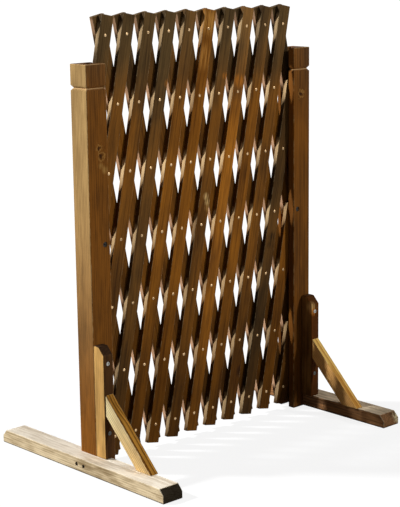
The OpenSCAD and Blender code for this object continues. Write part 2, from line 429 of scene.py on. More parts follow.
def board_facts(wire):
    """What a finish can read at each point of a board."""
    grain = wire.node("ShaderNodeAttribute", {"attribute_name": "grain"}, output="Vector")
    board = wire.node("ShaderNodeAttribute", {"attribute_name": "board"}, output="Vector")
    normal = wire.node("ShaderNodeTexCoord", output="Normal")
    at_rest = normal.beside("Object")
    log = wire.node("ShaderNodeSeparateXYZ", {}, {0: board}, "X")
    across = wire.node("ShaderNodeSeparateXYZ", {}, {0: grain}, "X")
    shift = wire.node("ShaderNodeCombineXYZ", {}, {axis: log * way for axis, way in enumerate(LOG_SHIFT)})
    return SimpleNamespace(
        place=grain.vector("ADD", shift),
        across=across,
        through=across.beside("Y"),
        along=across.beside("Z"),
        log=log,
        depth=log.beside("Y"),
        warmth=log.beside("Z"),
        edge=wire.node("ShaderNodeAttribute", {"attribute_name": "edge"}, output="Fac"),
        normal=normal,
        at_rest=at_rest,
        height=wire.node("ShaderNodeSeparateXYZ", {}, {0: at_rest}, "Z"),
    )


print("one step along the logs shifts the figure by", LOG_SHIFT, "m")

# %% [markdown]
# ## The wood's figure
# The wood is a fast-grown softwood: wide growth rings, each with a pale early part that ends in a thin
# dark line. A flat picture of grain could be laid on each face, but then the ends and sides wouldn't
# agree. Here the figure is solid instead: every point of a board knows its distance from the log's heart,
# so a face shows long streaks and a sawn end shows arcs. A slow noise sways the rings, knots push them
# aside, and noises drawn out along the board add fibres, pores, flecks and blotches. Most knots come by
# chance, from a sparse set of cells. A few stand where the real ones do, each a ragged dark core in a
# golden rim.

# %% Figure
RING = 4.2 * MM
LATE_WOOD = 3.0
SWAY = 16 * MM
KNOT_PUSH = 12 * MM
HEART_SPREAD = 50 * MM
HEART_ASIDE = 30 * MM
HEART_BELOW = 12 * MM
KNOT_CELLS = 12.0
KNOT_STRETCH = 0.55
KNOT_SHARE = 0.55
KNOT_WARP = 130.0
KNOT_REACH = (0.40, 0.05)
KNOT_BODY = (0.13, 0.07)
MIDDLE_SHADE = 0.60
FIBRE_SHADE = 0.8
BLOTCH_SHADE = 1.2
PORE_SHADE = 0.25
# Each noise: how much the way along the board counts, its cells to the metre and its detail.
NOISES = {
    "sway": (0.10, 20.0, 2.0),
    "fibre": (0.03, 420.0, 2.0),
    "pore": (0.02, 1500.0, 1.0),
    "blotch": (0.35, 17.0, 3.0),
    "fleck": (0.18, 150.0, 3.0),
}


def drawn_out(place, share):
    """A place whose way along the board counts for less, so that a noise on it is drawn out."""
    return place.vector("MULTIPLY", (1, 1, share))


def chance_knots(place):
    """Knots that come by chance: how the rings bend round them, and their cores."""
    cell = drawn_out(place, KNOT_STRETCH)
    reach = cell.node("ShaderNodeTexVoronoi", {}, {"Vector": cell, "Scale": KNOT_CELLS}, "Distance")
    chance = cell.node("ShaderNodeSeparateColor", {}, {0: reach.beside("Color")}, "Red")
    has_knot = chance.step(1 - KNOT_SHARE, 1.02 - KNOT_SHARE)
    return reach.step(*KNOT_REACH) * has_knot, reach.step(*KNOT_BODY) * has_knot


def figure_of(point, look):
    """How light the wood is at each point, with the noises, rings and knots that make it so."""
    made = SimpleNamespace()
    for name, (share, cells, detail) in NOISES.items():
        setattr(made, name, drawn_out(point.place, share).noise(cells, detail))
    made.fleck = (made.fleck - 0.5) * look.mottle
    made.bend, made.knot = chance_knots(point.place)
    made.rims = []
    for middle, size in look.knots:
        warp = (point.place.noise(KNOT_WARP) - 0.5) * 3 + (made.fibre - 0.5) * 2
        distance = point.at_rest.vector("DISTANCE", middle, "Value") + warp * size
        made.bend = made.bend + distance.step(size * 3, size * 0.5)
        made.knot = made.knot + distance.step(size, size * 0.4)
        made.rims.append(distance.step(size * 1.9, size * 1.4) * distance.step(size * 0.9, size * 1.3))
    aside = point.across + made.sway * SWAY + made.bend * KNOT_PUSH
    aside = aside + (point.log * 7.0) % HEART_SPREAD - HEART_ASIDE
    below = point.through + (point.log * 13.0) % HEART_SPREAD + HEART_BELOW
    radius = (aside * aside + below * below) ** 0.5
    made.late = ((radius / RING) % 1.0) ** LATE_WOOD
    shade = MIDDLE_SHADE - made.late * look.streak + (made.fibre - 0.5) * FIBRE_SHADE
    shade = shade + (made.blotch - 0.5) * BLOTCH_SHADE + made.fleck + (made.pore - 0.5) * PORE_SHADE
    made.shade = shade.step(0.0, 1.0)
    return made


print("rings", round(RING / MM, 1), "mm apart, and noises of", list(NOISES))

# %% [markdown]
# ## The stain
# Stain lies over the figure: deeper or paler, warmer or greyer from board to board, greyer at the top,
# and darker towards the bottom, which on the far post is painted shade. Sides that were sawn after
# staining are bare. On the slats the bare wood shows only beside the openings, where the key light falls
# through, so its limits there are painted light, and a side shut in behind its neighbour is darkened with
# painted shade. It could all be painted by hand on each piece, but rules that a whole kind of piece
# shares also hold for the sides that no picture shows. The table says what a look is if nothing else is
# said.

# %% Stain
LOOK = dict(
    one_side=False,   # only the side that pale names is sawn, and the opposite one is stained
    sawn_share=1.0,   # how bare the sawn sides are
    sawn_low=1.0,     # how much of that is left at the ground
    sawn_top=0.70,    # the height from which they are fully bare
    patchy=1.0,       # how far stain is left on them in patches
    open_every=None,  # the way from rivet to rivet, on slats whose sides are bare only beside the openings, as painted light
    open_part=(),     # the shares of that way at which the painted light beside an opening starts, is full, is full last and ends
    shut=0.0,         # painted shade on them elsewhere, where they are shut in behind a neighbour
    end_share=0.62,   # how dark the sawn ends are
    ledge=0.0,        # how much painted light a slanting top gets
    streak=0.34,      # how dark the rings' late wood is
    mottle=0.45,      # how strong the flecks are
    fade=0.0,         # how grey the top is
    damp=0.0,         # how much darker the bottom is; on the far post it is painted shade
    knots=(),         # places at rest, each with a size
    spots=(),         # marks of resin, soot or bare wood: places at rest, each with a size and a colour
)
FADE_HEIGHTS = (0.60, 0.80)
FADED_SIDES = (0.72, 0.80)
LOW_DARK_HEIGHTS = (0.42, 0.02)
SAWN_FOOT = 0.05
PATCHES = (0.55, 0.25)
GREY_TO_WARM = (-0.1, 1.1)
FACING = (0.75, 0.96)


def bare_and_lit(point, figure, look):
    """How bare a sawn side is at each point, and on the slats, painted light where the key falls through
    the openings.
    """
    share = look.sawn_low + point.height.step(SAWN_FOOT, look.sawn_top) * (1 - look.sawn_low)
    share = look.sawn_share * share * (1 - figure.blotch.step(*PATCHES) * look.patchy)
    share = share * (1 - point.height.step(*FADED_SIDES) * look.fade * 0.6)
    # On the slats the bare wood is kept to where the key light falls through the openings: painted light,
    # with painted shade beyond it.
    if look.open_every:
        from_rivet = (point.along / look.open_every + 0.5) % 1.0 - 0.5
        starts, full, full_last, ends = look.open_part
        share = share * from_rivet.step(starts, full) * from_rivet.step(ends, full_last)
    return share


def stained(point, figure, look):
    """The stain over the figure, darker towards the bottom, and the bare wood of the sawn sides; painted
    shade darkens the far post's bottom and the slat sides that are shut in.
    """
    warm_tone = figure.shade.mix(stain(look.dark), stain(look.light))
    grey_tone = figure.shade.mix(stain(look.grey_dark), stain(look.grey_light))
    greyed = point.height.step(*FADE_HEIGHTS) * look.fade
    warm = point.warmth + (figure.blotch - 0.5) * 0.9 + figure.fleck * 0.5 - greyed
    tone = warm.step(*GREY_TO_WARM).mix(grey_tone, warm_tone)
    facing = point.normal.vector("DOT_PRODUCT", look.pale, "Value")
    facing = (facing if look.one_side else abs(facing)).step(*FACING)
    # Darker towards the bottom; on the far post this is painted shade.
    low_darkening = point.height.step(*LOW_DARK_HEIGHTS) * look.damp
    # Painted shade on sides shut in behind a neighbour.
    tone = tone.dimmed(point.depth * (1 - low_darkening) * (1 - facing * look.shut))
    bare_tone = (0.45 + figure.shade * 0.55).mix(stain(look.dark), stain(look.sawn))
    return (facing * bare_and_lit(point, figure, look)).mix(tone, bare_tone)


print("a look has", len(LOOK), "values beside its colours and directions")

# %% [markdown]
# ## Marks and wear
# Sawn ends drink more stain, so they are dark. Slanting tops get painted light, as if lit from above,
# knots show as dark cores, and spots of resin, soot and bare wood lie where the real ones do, broken into
# streaks by the fibres so that they don't look like dots. Eased edges are rubbed bare in places, and the
# last few millimetres above the ground are darkened with a painted contact shadow. Relief could be
# modelled, but fibres are far finer than a mesh, so a bump does it.

# %% Marks, wear and the whole finish
KNOT_CORE = "#2a160a"
KNOT_RIM = "#c8924a"
# The colour and heights of a painted contact shadow along the ground.
CONTACT_SHADE = "#2b1e14"
CONTACT_SHADE_HEIGHTS = (4 * MM, 1 * MM)
WEAR_CELLS = 70.0
WORN = (0.36, 0.62)
STREAKED = (0.36, 0.54)
SLANT_STARTS = (0.35, 0.55)
SLANT_ENDS = (0.85, 0.70)
END_FACING = (0.60, 0.72)
RELIEF = 0.5 * MM


def marked(tone, point, figure, look):
    """Adds the painted light on slanting tops, the knots and the spots."""
    slant = point.normal.vector("DOT_PRODUCT", UP, "Value")
    # Painted light on slanting tops, in the colour of rubbed wood.
    tone = (slant.step(*SLANT_STARTS) * slant.step(*SLANT_ENDS) * look.ledge).mix(tone, stain(look.rubbed))
    tone = (figure.bend * 0.35).mix(tone, stain(look.dark))
    tone = (figure.knot * 0.80).mix(tone, stain(KNOT_CORE))
    for rim in figure.rims:
        tone = (rim * 0.50).mix(tone, stain(KNOT_RIM))
    for middle, size, colour in look.spots:
        distance = point.at_rest.vector("DISTANCE", middle, "Value")
        streaks = figure.fibre.step(*STREAKED) * distance.step(size * 2, size * 0.3)
        tone = (streaks * 0.85).mix(tone, stain(colour))
    return tone


def wood(name, **how):
    """A stained softwood. Along is a board's length and pale the normal of its sawn sides, both at rest."""
    look = SimpleNamespace(**{**LOOK, **how})
    made, wire = new_finish(name)
    point = board_facts(wire)
    figure = figure_of(point, look)
    end = abs(point.normal.vector("DOT_PRODUCT", look.along, "Value")).step(*END_FACING)
    wear = point.edge * point.place.noise(WEAR_CELLS).step(*WORN)
    tone = (end * look.end_share).mix(stained(point, figure, look), stain(look.grey_dark))
    tone = marked(tone, point, figure, look)
    tone = (wear * 0.65).mix(tone, stain(look.rubbed))
    # Painted contact shadow on the last few millimetres above the ground.
    tone = (point.height.step(*CONTACT_SHADE_HEIGHTS) * 0.8).mix(tone, stain(CONTACT_SHADE))
    relief = (1 - figure.late) * 0.5 + figure.fibre * 0.6 + figure.pore * 0.4 - figure.knot * 0.3
    bump = wire.node("ShaderNodeBump", {}, {"Height": relief, "Strength": 0.45, "Distance": RELIEF})
    surface = wire.node("ShaderNodeBsdfPrincipled", {}, {
        "Base Color": tone,
        "Roughness": 0.70 - figure.shade * 0.16 + wear * 0.08 + end * 0.10,
        "Normal": bump,
        "Specular IOR Level": 0.05,
    })
    wire.node("ShaderNodeOutputMaterial", {}, {"Surface": surface})
    return made


print("relief up to", round(RELIEF / MM, 2), "mm")

# %% [markdown]
# ## The woods of this trellis
# The slats are dark brown to orange. The posts' outer faces are bleached by the sun, the near foot is
# nearly white and the far one dark, and the braces are golden. The far foot's darkness is painted
# shade, and the far brace's pale gold is partly painted light, raised where the panel shades it. One
# finish could be tinted board by board, but the sawn sides and ends differ too, so each kind of piece
# has its own look. Knots and spots are points of the trellis at rest, so each falls on one board and
# travels with it.

# %% Directions
LINK = 126 * MM
PITCH = 50 * MM
LEAN = math.asin(PITCH / 2 / LINK)
BRACE_ANGLE = math.radians(45)
LEFTWARD = (-1.0, 0.0, 0.0)
RIGHTWARD = (1.0, 0.0, 0.0)
BACKWARD = (0.0, 1.0, 0.0)
ALONG_FRONT = (math.sin(LEAN), 0.0, math.cos(LEAN))
ALONG_BACK = (-math.sin(LEAN), 0.0, math.cos(LEAN))
BESIDE_FRONT = (math.cos(LEAN), 0.0, -math.sin(LEAN))
BESIDE_BACK = (math.cos(LEAN), 0.0, math.sin(LEAN))
ALONG_BRACE = (0.0, math.cos(BRACE_ANGLE), math.sin(BRACE_ANGLE))
print("slats lean", round(math.degrees(LEAN), 2), "degrees")

# %% Wood of the slats
RESIN = "#e0882c"
SCAR = "#f6cc84"
SOOT = "#1c1208"
SLAT_FACE = -1.2 * MM
SLAT_MARKS = (
    ((-0.078, SLAT_FACE, 0.692), 6 * MM, RESIN),
    ((0.104, SLAT_FACE, 0.684), 9 * MM, RESIN),
    ((0.067, SLAT_FACE, 0.696), 5 * MM, RESIN),
    ((0.013, SLAT_FACE, 0.470), 5 * MM, SCAR),
    ((0.017, SLAT_FACE, 0.458), 5 * MM, SCAR),
    ((0.016, SLAT_FACE, 0.447), 5 * MM, "#c8934e"),
    ((0.028, SLAT_FACE, 0.800), 17 * MM, "#e0a04c"),
    ((0.014, SLAT_FACE, 0.735), 17 * MM, "#cc8c40"),
    ((0.194, SLAT_FACE, 0.366), 8 * MM, SOOT),
    ((0.188, SLAT_FACE, 0.350), 7 * MM, SOOT),
)
# Slat sides shut in behind a neighbour are darkened with painted shade.
slat_look = dict(
    light="#ab6b20", dark="#5e350f", grey_light="#7a5f38", grey_dark="#41301c", rubbed="#e0c294",
    patchy=0.5, fade=0.70, damp=0.58, streak=0.22, open_every=LINK, shut=0.55,
)
# On the slats the bare wood of the sides shows only where the key light falls through the openings: painted
# light.
front_wood = wood(
    "stained_front_slats", along=ALONG_FRONT, pale=BESIDE_FRONT, sawn="#ecca96", sawn_low=0.50,
    open_part=(-0.37, -0.04, 0.11, 0.19), spots=SLAT_MARKS, **slat_look)
back_wood = wood(
    "stained_back_slats", along=ALONG_BACK, pale=BESIDE_BACK, sawn="#ecbc94",
    open_part=(-0.02, 0.10, 0.22, 0.30), **slat_look)
print(front_wood.name, "and", back_wood.name, "with", len(SLAT_MARKS), "marks")

# %% Wood of the posts and feet
POST_FACE = -17.5 * MM
POST_SCAR = "#b88a48"
post_look = dict(
    along=UP, light="#9c6122", dark="#593411", grey_light="#866846", grey_dark="#4c3824", sawn="#deb778",
    rubbed="#dcb47c", one_side=True, sawn_low=0.0, patchy=0.15, ledge=0.7, fade=0.5,
)
post_wood = {
    "left": wood(
        "stained_post_left", pale=LEFTWARD, damp=0.15,
        knots=(((-0.2587, POST_FACE, 0.592), 4 * MM), ((-0.2536, POST_FACE, 0.576), 5 * MM)),
        spots=(((-0.2472, POST_FACE, 0.552), 5 * MM, POST_SCAR),
               ((-0.2562, POST_FACE, 0.560), 4 * MM, POST_SCAR)),
        **post_look),
    # The far post's darkening towards the bottom is painted shade.
    "right": wood(
        "stained_post_right", pale=RIGHTWARD, damp=0.30, knots=(((0.261, POST_FACE, 0.648), 5 * MM),),
        **post_look),
}
foot_wood = {
    "left": wood(
        "bleached_foot", along=BACKWARD, pale=UP, light="#f2dcb4", dark="#9c825a", grey_light="#bfa67e",
        grey_dark="#181109", sawn="#f6ecda", patchy=0.25, rubbed="#f6ecd8", end_share=0.97, streak=0.35,
        mottle=1.2),
    # The far foot's darker stain is painted shade.
    "right": wood(
        "dark_foot_painted_shade", along=BACKWARD, pale=UP, light="#b48050", dark="#6a4a2e", grey_light="#9a7250",
        grey_dark="#2e2016", sawn="#f6e2c0", patchy=0.15, rubbed="#f6e2ba", end_share=0.40, mottle=1.0,
        spots=(((0.310, -0.233, 0.014), 8 * MM, "#f6e2b0"),)),
}
print([finish.name for finish in (*post_wood.values(), *foot_wood.values())])

# %% Wood of the battens and braces
batten_wood = {
    "left": wood(
        "stained_batten_left", along=UP, pale=LEFTWARD, light="#623e1c", dark="#3b2510",
        grey_light="#573c22", grey_dark="#2f2016", sawn="#efbb6e", patchy=0.6, rubbed="#ecca90",
        one_side=True, end_share=0.8),
    "right": wood(
        "stained_batten_right", along=UP, pale=RIGHTWARD, light="#86480f", dark="#4c270a",
        grey_light="#643c14", grey_dark="#36220c", sawn="#e0ae66", sawn_share=0.35, rubbed="#eccb92",
        damp=0.3, spots=(((0.263, -0.0440, 0.214), 8 * MM, "#f0c078"),
                         ((0.269, -0.0455, 0.205), 6 * MM, RESIN))),
}
brace_wood = {
    "left": wood(
        "golden_brace_left", along=ALONG_BRACE, pale=RIGHTWARD, light="#f4b048", dark="#6e4210",
        grey_light="#a8752e", grey_dark="#5b360f", sawn="#ffeeb6", sawn_low=0.50, sawn_top=0.13, patchy=0.4,
        rubbed="#f6e4b4", streak=0.85),
    # The far brace's pale golds are partly painted light, raised where the panel shades it.
    "right": wood(
        "golden_brace_right", along=ALONG_BRACE, pale=RIGHTWARD, light="#ffd678", dark="#bc7a2c",
        grey_light="#e0aa50", grey_dark="#6c4412", sawn="#ffc478", sawn_share=0.95, rubbed="#ffeab0",
        streak=0.80, mottle=0.7),
}
print([finish.name for finish in (*batten_wood.values(), *brace_wood.values())])

# %% [markdown]
# ## Slats
# A slat is a thin strip, sawn square at its ends, with a hole at every rivet. All the slats that run the
# full height are alike, so each kind is modelled once, hanging from its first pivot, and copied. The
# copies share no mesh, because each one has its own bit of log. Front slats lean to the right and back
# slats to the left.

# %% Slats
ROWS = 7
LAST_COLUMN = 9
MIDDLE_ROW = (ROWS + 1) // 2
MIDDLE_COLUMN = LAST_COLUMN / 2
ROW_HEIGHT = math.sqrt(LINK ** 2 - (PITCH / 2) ** 2)
SLAT_WIDTH = 27.5 * MM
TAIL = 36 * MM
HEEL = 10 * MM
SLAT_EASE = 0.9 * MM
RIVET_RADIUS = 1.6 * MM
RIVET_PLAY = 0.3 * MM
BOLT_HOLE = 3.3 * MM
PAST = 1 * MM

bolt_low, bolt_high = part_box("pivot_bolt_left")
BOLT_HEIGHT = (bolt_low.z + bolt_high.z) / 2
front_layer = [corner.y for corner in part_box("front_slat_07")]
back_layer = [corner.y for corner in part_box("back_slat_07")]
SLAT_THICK = front_layer[1] - front_layer[0]

# Each stain: its depth, from dark to bright, and its warmth, from grey to orange.
STAINS = {
    "smoke": (0.70, 0.30),
    "olive": (0.90, 0.45),
    "umber": (0.98, 0.70),
    "chestnut": (1.12, 0.90),
    "amber": (1.60, 0.90),
    "honey": (1.10, 1.70),
    # The last three darken only the back slats, partly as painted shade from the front layer.
    "char": (0.52, 0.65),
    "scorch": (0.66, 0.80),
    "walnut": (0.84, 0.80),
}
FRONT_STAINS = ["umber", "umber", "umber", "olive", "chestnut", "honey", "umber",
                "amber", "chestnut", "umber", "smoke", "chestnut", "umber"]
# The back stains are darker than the front ones, partly as painted shade cast by the front slats.
BACK_STAINS = ["walnut", "walnut", "scorch", "walnut", "walnut", "scorch", "walnut",
               "scorch", "scorch", "char", "scorch", "scorch", "char"]
FRONT_LOG, FRONT_LOG_STEP = 0.113, 0.617
BACK_LOG, BACK_LOG_STEP = 8.291, 0.571
SLATS = len(FRONT_STAINS)
FIRST_BACK = 1 - MIDDLE_ROW
HOLE_SIDES = 12


def pivot(column, row, depth):
    """The place of a crossing."""
    return Vector(((column - MIDDLE_COLUMN) * PITCH, depth, BOLT_HEIGHT + (MIDDLE_ROW - row) * ROW_HEIGHT))


def front_rows(i):
    """First and last row of a front slat, named by the column of its top rivet."""
    return max(1, 2 * (i - LAST_COLUMN)), min(ROWS, 2 * (i + 1))


def back_rows(k):
    """First and last row of a back slat, named by the column that its line has in the top row."""
    return max(1, -2 * k), min(ROWS, 2 * (LAST_COLUMN + 1 - k))


def on_bolt(column, row):
    """Whether a crossing lies on a post's bolt."""
    return row == MIDDLE_ROW and not 0 <= column <= LAST_COLUMN


def slat_kind(first, last, hole, bolt_row):
    """A slat that hangs from its first pivot, eased and drilled."""
    above = TAIL if first == 1 else HEEL
    below = TAIL if last == ROWS else HEEL
    bottom = -(last - first) * LINK - below
    piece = blank("slat_kind", (-SLAT_WIDTH / 2, 0, bottom), (SLAT_WIDTH / 2, SLAT_THICK, above))
    ease(piece, SLAT_EASE)
    drills = []
    for row in range(first, last + 1):
        drop = -(row - first) * LINK
        radius = BOLT_HOLE if row == bolt_row else hole
        drills.append(rod(radius, (0, -PAST, drop), (0, SLAT_THICK + PAST, drop), HOLE_SIDES))
    cut(piece, joined(drills))
    polish(piece)
    return piece


slat_kinds = {}


def slat(name, first, last, hole, columns, turn, along, layer, stain_name, log, slot, finish):
    """One slat of either layer, copied from its kind and turned into its place."""
    bolted = first <= MIDDLE_ROW <= last and on_bolt(columns(MIDDLE_ROW), MIDDLE_ROW)
    kind = (first, last, hole, MIDDLE_ROW if bolted else None)
    if kind not in slat_kinds:
        slat_kinds[kind] = slat_kind(*kind)
    alone(slat_kinds[kind])
    bpy.ops.object.duplicate(linked=False)
    piece = bpy.context.object
    piece.name = piece.data.name = name + "_wood"
    piece.rotation_euler = (0, turn, 0)
    piece.location = pivot(columns(first), first, layer[0])
    settle(piece)
    middle = pivot(columns(first), first, sum(layer) / 2)
    mark_grain(piece, log, *STAINS[stain_name], middle, along, BACKWARD)
    stands_for(piece, name, name, finish)


for i in range(SLATS):
    slat(f"front_slat_{i + 1:02d}", *front_rows(i), RIVET_RADIUS,
         lambda row: i - (row - 1) / 2, LEAN, ALONG_FRONT, front_layer,
         FRONT_STAINS[i], FRONT_LOG + i * FRONT_LOG_STEP, "front_slat_wood", front_wood)
for j in range(SLATS):
    k = FIRST_BACK + j
    slat(f"back_slat_{j + 1:02d}", *back_rows(k), RIVET_RADIUS + RIVET_PLAY,
         lambda row: k + (row - 1) / 2, -LEAN, ALONG_BACK, back_layer,
         BACK_STAINS[j], BACK_LOG + j * BACK_LOG_STEP, "back_slat_wood", back_wood)
for kind in slat_kinds.values():
    bpy.data.meshes.remove(kind.data)
print(2 * SLATS, "slats from", len(slat_kinds), "kinds")

# %% [markdown]
# ## Metal
# The rivets are brass-plated and dulled by weather, the screws are zinc-plated and the bolts are plain
# dark steel. A metal has no colour of its own under a flat light: it shows what is round it. It could be
# one bright value, but then it looks new. So its colour is only its tint, and the life is in a roughness
# that changes from place to place, with a little dulling in patches. Near the ground the zinc is
# darkened with painted shade, as the batten's lower screw lies in the brace's shade.

# %% Metal finishes
# Painted shade on the metal near the ground: full below the first height, none above the second.
FULL_SHADE_HEIGHT = 90 * MM
NO_SHADE_HEIGHT = 150 * MM
SCRATCH = 0.1 * MM


def metal(name, tint, dull, patch, rough_low, rough_high, damp=0.0):
    """A plated metal, dulled in patches and darkened near the ground with painted shade."""
    made, wire = new_finish(name)
    place = wire.node("ShaderNodeTexCoord", output="Object")
    cloud = place.noise(patch, 3.0)
    scratch = place.vector("MULTIPLY", (1, 0.15, 1)).noise(patch * 9, 1.0)
    dulled = (cloud + (scratch - 0.5) * 0.5).step(0.42, 0.66)
    height = wire.node("ShaderNodeSeparateXYZ", {}, {0: place}, "Z")
    tone = dulled.mix(stain(tint), stain(dull)).dimmed(1 - height.step(NO_SHADE_HEIGHT, FULL_SHADE_HEIGHT) * damp)
    rough = rough_low + dulled * (rough_high - rough_low) + (scratch - 0.5) * 0.1
    bump = wire.node("ShaderNodeBump", {}, {"Height": scratch, "Strength": 0.25, "Distance": SCRATCH})
    surface = wire.node("ShaderNodeBsdfPrincipled", {}, {
        "Base Color": tone,
        "Metallic": 1.0 - dulled * 0.25,
        "Roughness": rough,
        "Normal": bump,
    })
    wire.node("ShaderNodeOutputMaterial", {}, {"Surface": surface})
    return made


brass = metal("dull_brass", "#d0b084", "#907450", 260.0, 0.40, 0.65)
# The zinc's lower batten screw lies in the brace's shade, so it gets painted shade.
zinc = metal("zinc_plate", "#b4b3ad", "#7d7b74", 220.0, 0.30, 0.55, damp=0.75)
dark_steel = metal("dark_steel", "#3c3a37", "#262320", 200.0, 0.45, 0.65)
print("metals:", brass.name, zinc.name, dark_steel.name)

# %% [markdown]
# ## Rivets
# A rivet is a short rod with a domed head on each face of the lattice. It could be a lathe profile spun
# round, but on a rod this small it is quicker to push the end faces out and draw them in, ring by ring.
# One rivet is made, then set at every crossing of a front slat, and each slat's rivets are joined, as
# they travel with it.

# %% Rivets
HEAD_RADIUS = 2.75 * MM
HEAD_HEIGHT = 1.0 * MM
HEAD_FLOAT = 0.2 * MM
RIVET_REACH = back_layer[1] - front_layer[0] + HEAD_FLOAT
DOME = ((1.0, 0.45), (0.72, 0.40), (0.34, 0.15))


def head(piece, end, outward):
    """Draws one end face of a rivet out into a low dome, ring by ring."""
    grow = HEAD_RADIUS / RIVET_RADIUS
    with editing(piece, "FACE"):
        select_faces(piece, lambda middle: abs(middle.y - end) < NEAR)
        bpy.ops.mesh.inset(thickness=0)
        bpy.ops.transform.resize(value=(grow, 1, grow), center_override=(0, end, 0))
        for share, rise in DOME:
            out = (0, outward * rise * HEAD_HEIGHT, 0)
            bpy.ops.mesh.extrude_region_move(TRANSFORM_OT_translate={"value": out})
            bpy.ops.transform.resize(value=(share, 1, share), center_override=(0, end, 0))


one_rivet = rod(RIVET_RADIUS, (0, 0, 0), (0, RIVET_REACH, 0), HOLE_SIDES)
head(one_rivet, 0.0, -1)
head(one_rivet, RIVET_REACH, 1)
alone(one_rivet)
bpy.ops.object.shade_smooth_by_angle(angle=SMOOTH_ANGLE)

for i in range(SLATS):
    first, last = front_rows(i)
    group = []
    for row in range(first, last + 1):
        column = i - (row - 1) / 2
        if not on_bolt(column, row):
            alone(one_rivet)
            bpy.ops.object.duplicate(linked=False)
            bpy.context.object.location = pivot(column, row, front_layer[0])
            settle(bpy.context.object)
            group.append(bpy.context.object)
    rivets = joined(group)
    rivets.name = rivets.data.name = f"rivets_{i + 1:02d}_brass"
    stands_for(rivets, f"rivets_{i + 1:02d}", f"front_slat_{i + 1:02d}", brass)
bpy.data.meshes.remove(one_rivet.data)
print("rivet reach", round(RIVET_REACH / MM, 2), "mm")

# %% [markdown]
# ## Posts
# A post is square timber with a V-shaped groove round it near the top and a deep groove down its inner
# face, where the ends of the lattice slide. The V could be four Boolean cuts. It is quicker to score
# three lines round the post with the bisect tool and to draw the middle one in. The deep groove and the
# sunk bolt hole are true cuts.

# %% Posts
SIDES = {"left": -1, "right": 1}
BODIES = {"left": "left_stand", "right": "right_stand"}
BAND_DROP = 42 * MM
BAND_HEIGHT = 10 * MM
BAND_DEPTH = 4 * MM
POST_EASE = 1.4 * MM
GROOVE_DEPTH = 28.8 * MM
GROOVE_PLAY = 2.0 * MM
BOLT_RADIUS = 3.1 * MM
BOLT_HEAD_RADIUS = 5.1 * MM
BOLT_SINK = 6 * MM
POST_STAIN = {"left": (1.0, 1.0), "right": (0.92, 0.95)}
POST_LOG = {"left": 3.37, "right": 5.81}


def ordered(first, second):
    """Two corners as the lowest and the highest one."""
    return [min(a, b) for a, b in zip(first, second)], [max(a, b) for a, b in zip(first, second)]


for side, sign in SIDES.items():
    low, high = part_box(f"post_{side}")
    middle = (low + high) / 2
    post = blank(f"post_{side}_wood", low, high)
    ease(post, POST_EASE)
    band = high.z - BAND_DROP
    with editing(post):
        for line in (band - BAND_HEIGHT / 2, band, band + BAND_HEIGHT / 2):
            bpy.ops.mesh.select_all(action="SELECT")
            bpy.ops.mesh.bisect(plane_co=(0, 0, line), plane_no=UP)
    with editing(post, "VERT"):
        select_points(post, lambda place: abs(place.z - band) < NEAR)
        inward = 1 - 2 * BAND_DEPTH / (high.x - low.x)
        bpy.ops.transform.resize(value=(inward, inward, 1), center_override=(middle.x, middle.y, band))
    inner = -sign
    face = high.x if inner > 0 else low.x
    groove = blank("groove", *ordered(
        (face - inner * GROOVE_DEPTH, front_layer[0] - GROOVE_PLAY, low.z - PAST),
        (face + inner * PAST, back_layer[1] + GROOVE_PLAY, high.z + PAST)))
    bolt_x = sign * abs(bolt_low.x + bolt_high.x) / 2
    before = (bolt_x, low.y - PAST, BOLT_HEIGHT)
    hole = rod(BOLT_RADIUS, before, (bolt_x, high.y + PAST, BOLT_HEIGHT))
    sink = rod(BOLT_HEAD_RADIUS, before, (bolt_x, low.y + BOLT_SINK, BOLT_HEIGHT))
    cut(post, groove, hole, sink)
    polish(post)
    mark_grain(post, POST_LOG[side], *POST_STAIN[side], (middle.x, middle.y, 0), UP, BACKWARD)
    stands_for(post, f"post_{side}", BODIES[side], post_wood[side])
    print(post.name, len(post.data.polygons), "faces")

# %% [markdown]
# ## Feet
# Each foot is a low beam laid front to back, sloped at both ends and housed on its inner side for the
# post. Two screws go through it into the post, and their heads lie deep in drilled holes. The near foot
# is bleached almost white on top and the far one is dark, so they differ only in stain; the far one's
# darker stain is painted shade.

# %% Feet
TOE_RUN = 11 * MM
TOE_DROP = 12 * MM
FOOT_EASE = 1.6 * MM
SCREW_RADIUS = 3.85 * MM
SCREW_SINK = 5 * MM
FOOT_STAIN = {"left": (1.0, 0.9), "right": (1.25, 0.6)}
FOOT_LOG = {"left": 11.73, "right": 2.09}

for side, sign in SIDES.items():
    low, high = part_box(f"foot_{side}")
    middle = (low + high) / 2
    foot = blank(f"foot_{side}_wood", low, high)
    for end, facing in ((low.y, -1), (high.y, 1)):
        saw(foot, (0, end, high.z - TOE_DROP), (0, facing * TOE_DROP, TOE_RUN))
    ease(foot, FOOT_EASE)
    post_low, post_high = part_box(f"post_{side}")
    housing = blank("housing", (post_low.x, post_low.y, low.z - PAST),
                    (post_high.x, post_high.y, high.z + PAST))
    screws_low, screws_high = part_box(f"foot_screws_{side}")
    outer = low.x if sign < 0 else high.x
    holes = []
    for y in (screws_low.y + SCREW_RADIUS, screws_high.y - SCREW_RADIUS):
        holes.append(rod(SCREW_RADIUS, (outer + sign * PAST, y, middle.z),
                         (outer - sign * SCREW_SINK, y, middle.z)))
    cut(foot, housing, *holes)
    polish(foot)
    mark_grain(foot, FOOT_LOG[side], *FOOT_STAIN[side], (middle.x, 0, middle.z), BACKWARD, UP)
    stands_for(foot, f"foot_{side}", BODIES[side], foot_wood[side])
    print(foot.name, len(foot.data.polygons), "faces")

# %% [markdown]
# ## Battens
# A batten stands on the foot against the post's front and takes the brace's thrust. Its top is sloped and
# rounded over, and two screws hold it, each in a shallow countersink a little wider than the head.

